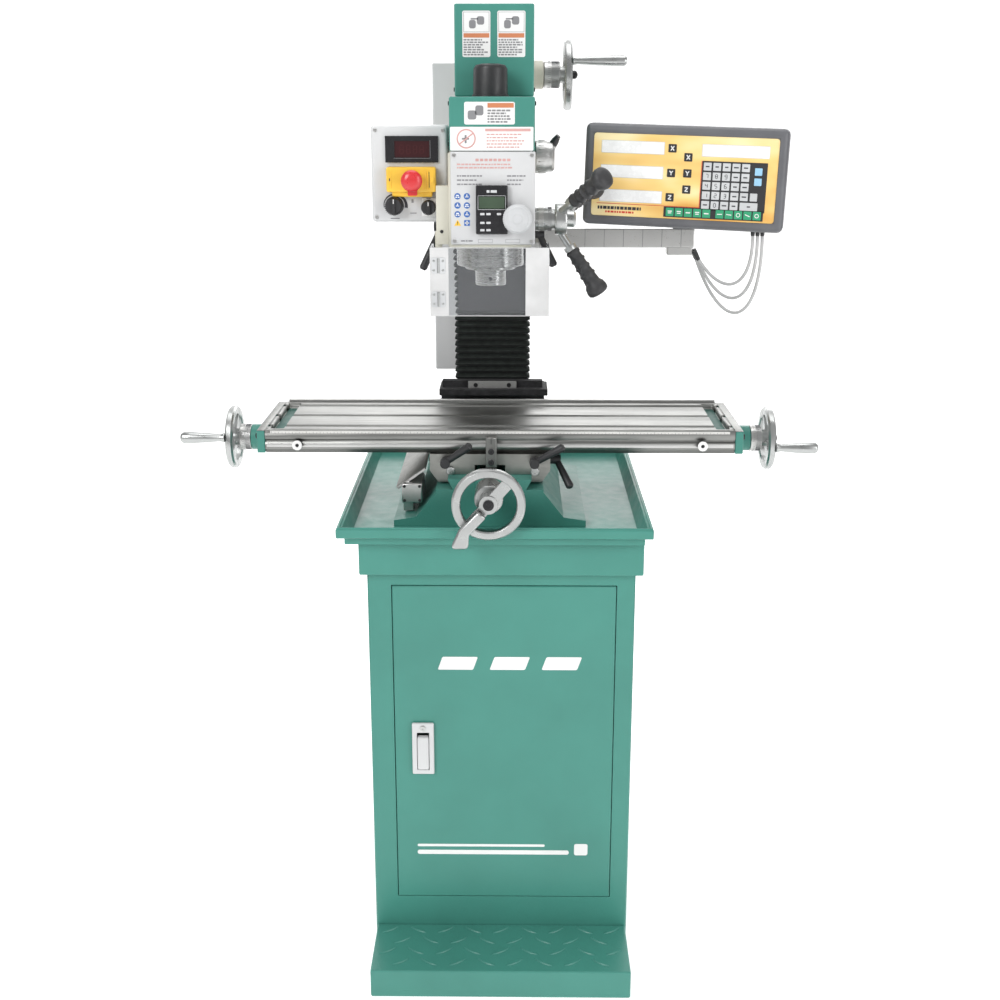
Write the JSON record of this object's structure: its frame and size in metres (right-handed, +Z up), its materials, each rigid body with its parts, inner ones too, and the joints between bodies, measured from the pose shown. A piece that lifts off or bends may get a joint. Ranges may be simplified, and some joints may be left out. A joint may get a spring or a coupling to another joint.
{
  "type": "vertical milling machine",
  "caption": "Bench-class vertical milling machine with slotted table, tilting geared head, digital readout, chip tray and cabinet stand with a step",
  "frame": {"origin": "centre of the bounding box in plan, on the floor", "axes": "+X along the table to the operator's right, -Y towards the operator, +Z up"},
  "size_m": [0.94, 0.57, 1.392],
  "materials": {
    "green": "satin green paint",
    "cream": "satin cream paint",
    "grey": "satin light grey paint",
    "steel": "ground steel",
    "iron": "machined cast iron",
    "chrome": "polished",
    "black": "matte black plastic",
    "rubber": "matte black rubberised cloth",
    "yellow": "gloss yellow plastic",
    "red": "gloss red plastic",
    "clear": "clear polycarbonate",
    "cable": "grey sheathed cable",
    "greyp": "light grey plastic"
  },
  "bodies": {
    "frame": {"stand_cabinet": "green", "stand_cap": "green", "stand_step": "green", "chip_tray": "green", "mill_base": "green", "column": "cream", "z_scale_cover": "grey", "rear_way_cover": "rubber", "y_scale_reader": "grey", "dro_bracket": "grey", "column_bellows": "rubber"},
    "door": {"cabinet_door": "green", "door_latch_housing": "grey"},
    "latch": {"door_latch_lever": "grey"},
    "z_screw": {"z_handwheel": "chrome"},
    "z_grip": {"z_handwheel_grip": "chrome"},
    "y_screw": {"y_handwheel": "chrome"},
    "y_crank": {"y_crank_handle": "chrome"},
    "saddle_body": {"saddle": "iron", "index_block": "iron"},
    "x_lock_a": {"x_lock_lever_left": "black"},
    "x_lock_b": {"x_lock_lever_right": "black"},
    "y_lock": {"y_lock_lever": "black"},
    "table_body": {"table": "steel", "table_bracket_left": "green", "table_bracket_right": "green", "x_scale_rail": "grey", "table_stop_left": "chrome", "table_stop_right": "chrome"},
    "x_screw": {"x_leadscrew": "steel", "x_handwheel_left": "chrome", "x_handwheel_right": "chrome"},
    "x_grip_a": {"x_handwheel_grip_left": "chrome"},
    "x_grip_b": {"x_handwheel_grip_right": "chrome"},
    "slide_body": {"head_slide": "cream"},
    "head": {"head_casting": "cream", "head_front_panel": "grey", "depth_display": "black", "head_top_cover": "green", "motor_cover": "green", "spindle_motor": "iron", "drawbar_cap": "black", "control_box": "grey", "e_stop_housing": "yellow"},
    "gear_knob": {"gear_selector_knob": "greyp"},
    "downfeed": {"downfeed_hub": "chrome"},
    "fine_knob": {"fine_feed_knob": "greyp"},
    "quill_body": {"quill": "steel"},
    "spindle_body": {"spindle": "steel"},
    "guard": {"chuck_guard": "clear"},
    "head_lock": {"head_lock_lever": "black"},
    "quill_lock": {"quill_lock_lever": "black"},
    "stop_button": {"e_stop_button": "red"},
    "speed_dial": {"speed_knob": "black"},
    "switch": {"direction_switch": "black"},
    "readout_arm": {"dro_arm": "grey", "dro_cable_1": "cable", "dro_cable_2": "cable", "dro_cable_3": "cable"},
    "readout": {"dro_display": "black"}
  },
  "joints": [
    {"name": "door_hinge", "type": "hinge", "parent": "frame", "child": "door", "pos_m": [0.168, -0.1775, 0.343], "axis": [0, 0, 1], "range_deg": [0, 110]},
    {"name": "latch_pull", "type": "hinge", "parent": "door", "child": "latch", "pos_m": [-0.109, -0.175, 0.3605], "axis": [-1, 0, 0], "range_deg": [0, 30], "stiffness_Nm_per_rad": 0.05, "springref_deg": -11.46},
    {"name": "z_screw_turn", "type": "hinge", "parent": "frame", "child": "z_screw", "pos_m": [0, 0.223, 1.299], "axis": [1, 0, 0], "range_deg": [-25200, 20700]},
    {"name": "z_grip_turn", "type": "hinge", "parent": "z_screw", "child": "z_grip", "pos_m": [0.1123, 0.1783, 1.319], "axis": [1, 0, 0], "continuous": true},
    {"name": "z_slide", "type": "slide", "parent": "frame", "child": "slide_body", "axis": [0, 0, 1], "range_m": [-0.14, 0.115], "deforming": ["column_bellows"]},
    {"name": "y_screw_turn", "type": "hinge", "parent": "frame", "child": "y_screw", "pos_m": [-0.012, -0.1584, 0.728], "axis": [0, 1, 0], "range_deg": [-10080, 10080]},
    {"name": "y_crank_fold", "type": "hinge", "parent": "y_screw", "child": "y_crank", "pos_m": [-0.0205, -0.226, 0.7175], "axis": [-0.7539, 0, 0.6569], "range_deg": [0, 90]},
    {"name": "y_slide", "type": "slide", "parent": "frame", "child": "saddle_body", "axis": [0, 1, 0], "range_m": [-0.07, 0.07]},
    {"name": "x_lock_left_turn", "type": "hinge", "parent": "saddle_body", "child": "x_lock_a", "pos_m": [-0.076, -0.1004, 0.756], "axis": [0, 1, 0], "range_deg": [-40, 20]},
    {"name": "x_lock_right_turn", "type": "hinge", "parent": "saddle_body", "child": "x_lock_b", "pos_m": [0.052, -0.1004, 0.756], "axis": [0, 1, 0], "range_deg": [-40, 20]},
    {"name": "y_lock_turn", "type": "hinge", "parent": "saddle_body", "child": "y_lock", "pos_m": [0.0753, -0.062, 0.748], "axis": [1, 0, 0], "range_deg": [0, 45]},
    {"name": "x_screw_turn", "type": "hinge", "parent": "table_body", "child": "x_screw", "pos_m": [0, -0.008, 0.7665], "axis": [1, 0, 0], "range_deg": [-25920, 25920]},
    {"name": "x_grip_left_turn", "type": "hinge", "parent": "x_screw", "child": "x_grip_a", "pos_m": [-0.4053, -0.04902, 0.7755], "axis": [1, 0, 0], "continuous": true},
    {"name": "x_grip_right_turn", "type": "hinge", "parent": "x_screw", "child": "x_grip_b", "pos_m": [0.4093, -0.04981, 0.7625], "axis": [1, 0, 0], "continuous": true},
    {"name": "x_slide", "type": "slide", "parent": "saddle_body", "child": "table_body", "axis": [1, 0, 0], "range_m": [-0.18, 0.18]},
    {"name": "head_tilt", "type": "hinge", "parent": "slide_body", "child": "head", "pos_m": [-0.012, 0.128, 1.125], "axis": [0, 1, 0], "range_deg": [-90, 30]},
    {"name": "gear_selector_turn", "type": "hinge", "parent": "head", "child": "gear_knob", "pos_m": [0.0463, -0.008, 1.181], "axis": [1, 0, 0], "range_deg": [0, 90]},
    {"name": "downfeed_turn", "type": "hinge", "parent": "head", "child": "downfeed", "pos_m": [0.0463, -0.008, 1.093], "axis": [1, 0, 0], "range_deg": [0, 225]},
    {"name": "fine_feed_turn", "type": "hinge", "parent": "head", "child": "fine_knob", "pos_m": [0.0265, -0.0838, 1.101], "axis": [0, 1, 0], "continuous": true},
    {"name": "quill_slide", "type": "slide", "parent": "head", "child": "quill_body", "axis": [0, 0, -1], "range_m": [0, 0.05], "stiffness_N_per_m": 500, "springref_m": -0.2},
    {"name": "spindle_spin", "type": "hinge", "parent": "quill_body", "child": "spindle_body", "pos_m": [-0.012, -0.008, 0.998], "axis": [0, 0, 1], "continuous": true},
    {"name": "guard_swing", "type": "hinge", "parent": "head", "child": "guard", "pos_m": [-0.0925, -0.048, 0.961], "axis": [0, 0, 1], "range_deg": [-100, 0]},
    {"name": "head_lock_turn", "type": "hinge", "parent": "head", "child": "head_lock", "pos_m": [-0.0703, 0.06, 1.076], "axis": [1, 0, 0], "range_deg": [-20, 60]},
    {"name": "quill_lock_turn", "type": "hinge", "parent": "head", "child": "quill_lock", "pos_m": [0.0463, 0.01, 1.071], "axis": [1, 0, 0], "range_deg": [0, 60]},
    {"name": "stop_button_push", "type": "slide", "parent": "head", "child": "stop_button", "axis": [0, 1, 0], "range_m": [0, 0.004], "stiffness_N_per_m": 400, "springref_m": -0.001},
    {"name": "speed_turn", "type": "hinge", "parent": "head", "child": "speed_dial", "pos_m": [-0.1475, -0.0423, 1.1145], "axis": [0, 1, 0], "range_deg": [0, 280]},
    {"name": "direction_turn", "type": "hinge", "parent": "head", "child": "switch", "pos_m": [-0.099, -0.0435, 1.1125], "axis": [0, 1, 0], "range_deg": [-60, 60]},
    {"name": "readout_arm_swing", "type": "hinge", "parent": "frame", "child": "readout_arm", "pos_m": [0.066, 0.228, 1.051], "axis": [0, 0, 1], "range_deg": [0, 60]},
    {"name": "readout_swivel", "type": "hinge", "parent": "readout_arm", "child": "readout", "pos_m": [0.288, 0.149, 1.067], "axis": [0, 0, 1], "range_deg": [-30, 2]}
  ],
  "couplings": [
    {"joint": "x_screw_turn", "follows": "x_slide", "rad_per_m": 2513.3},
    {"joint": "y_screw_turn", "follows": "y_slide", "rad_per_m": 2513.3},
    {"joint": "z_screw_turn", "follows": "z_slide", "rad_per_m": 3141.6},
    {"joint": "quill_slide", "follows": "downfeed_turn", "m_per_rad": 0.012732}
  ]
}
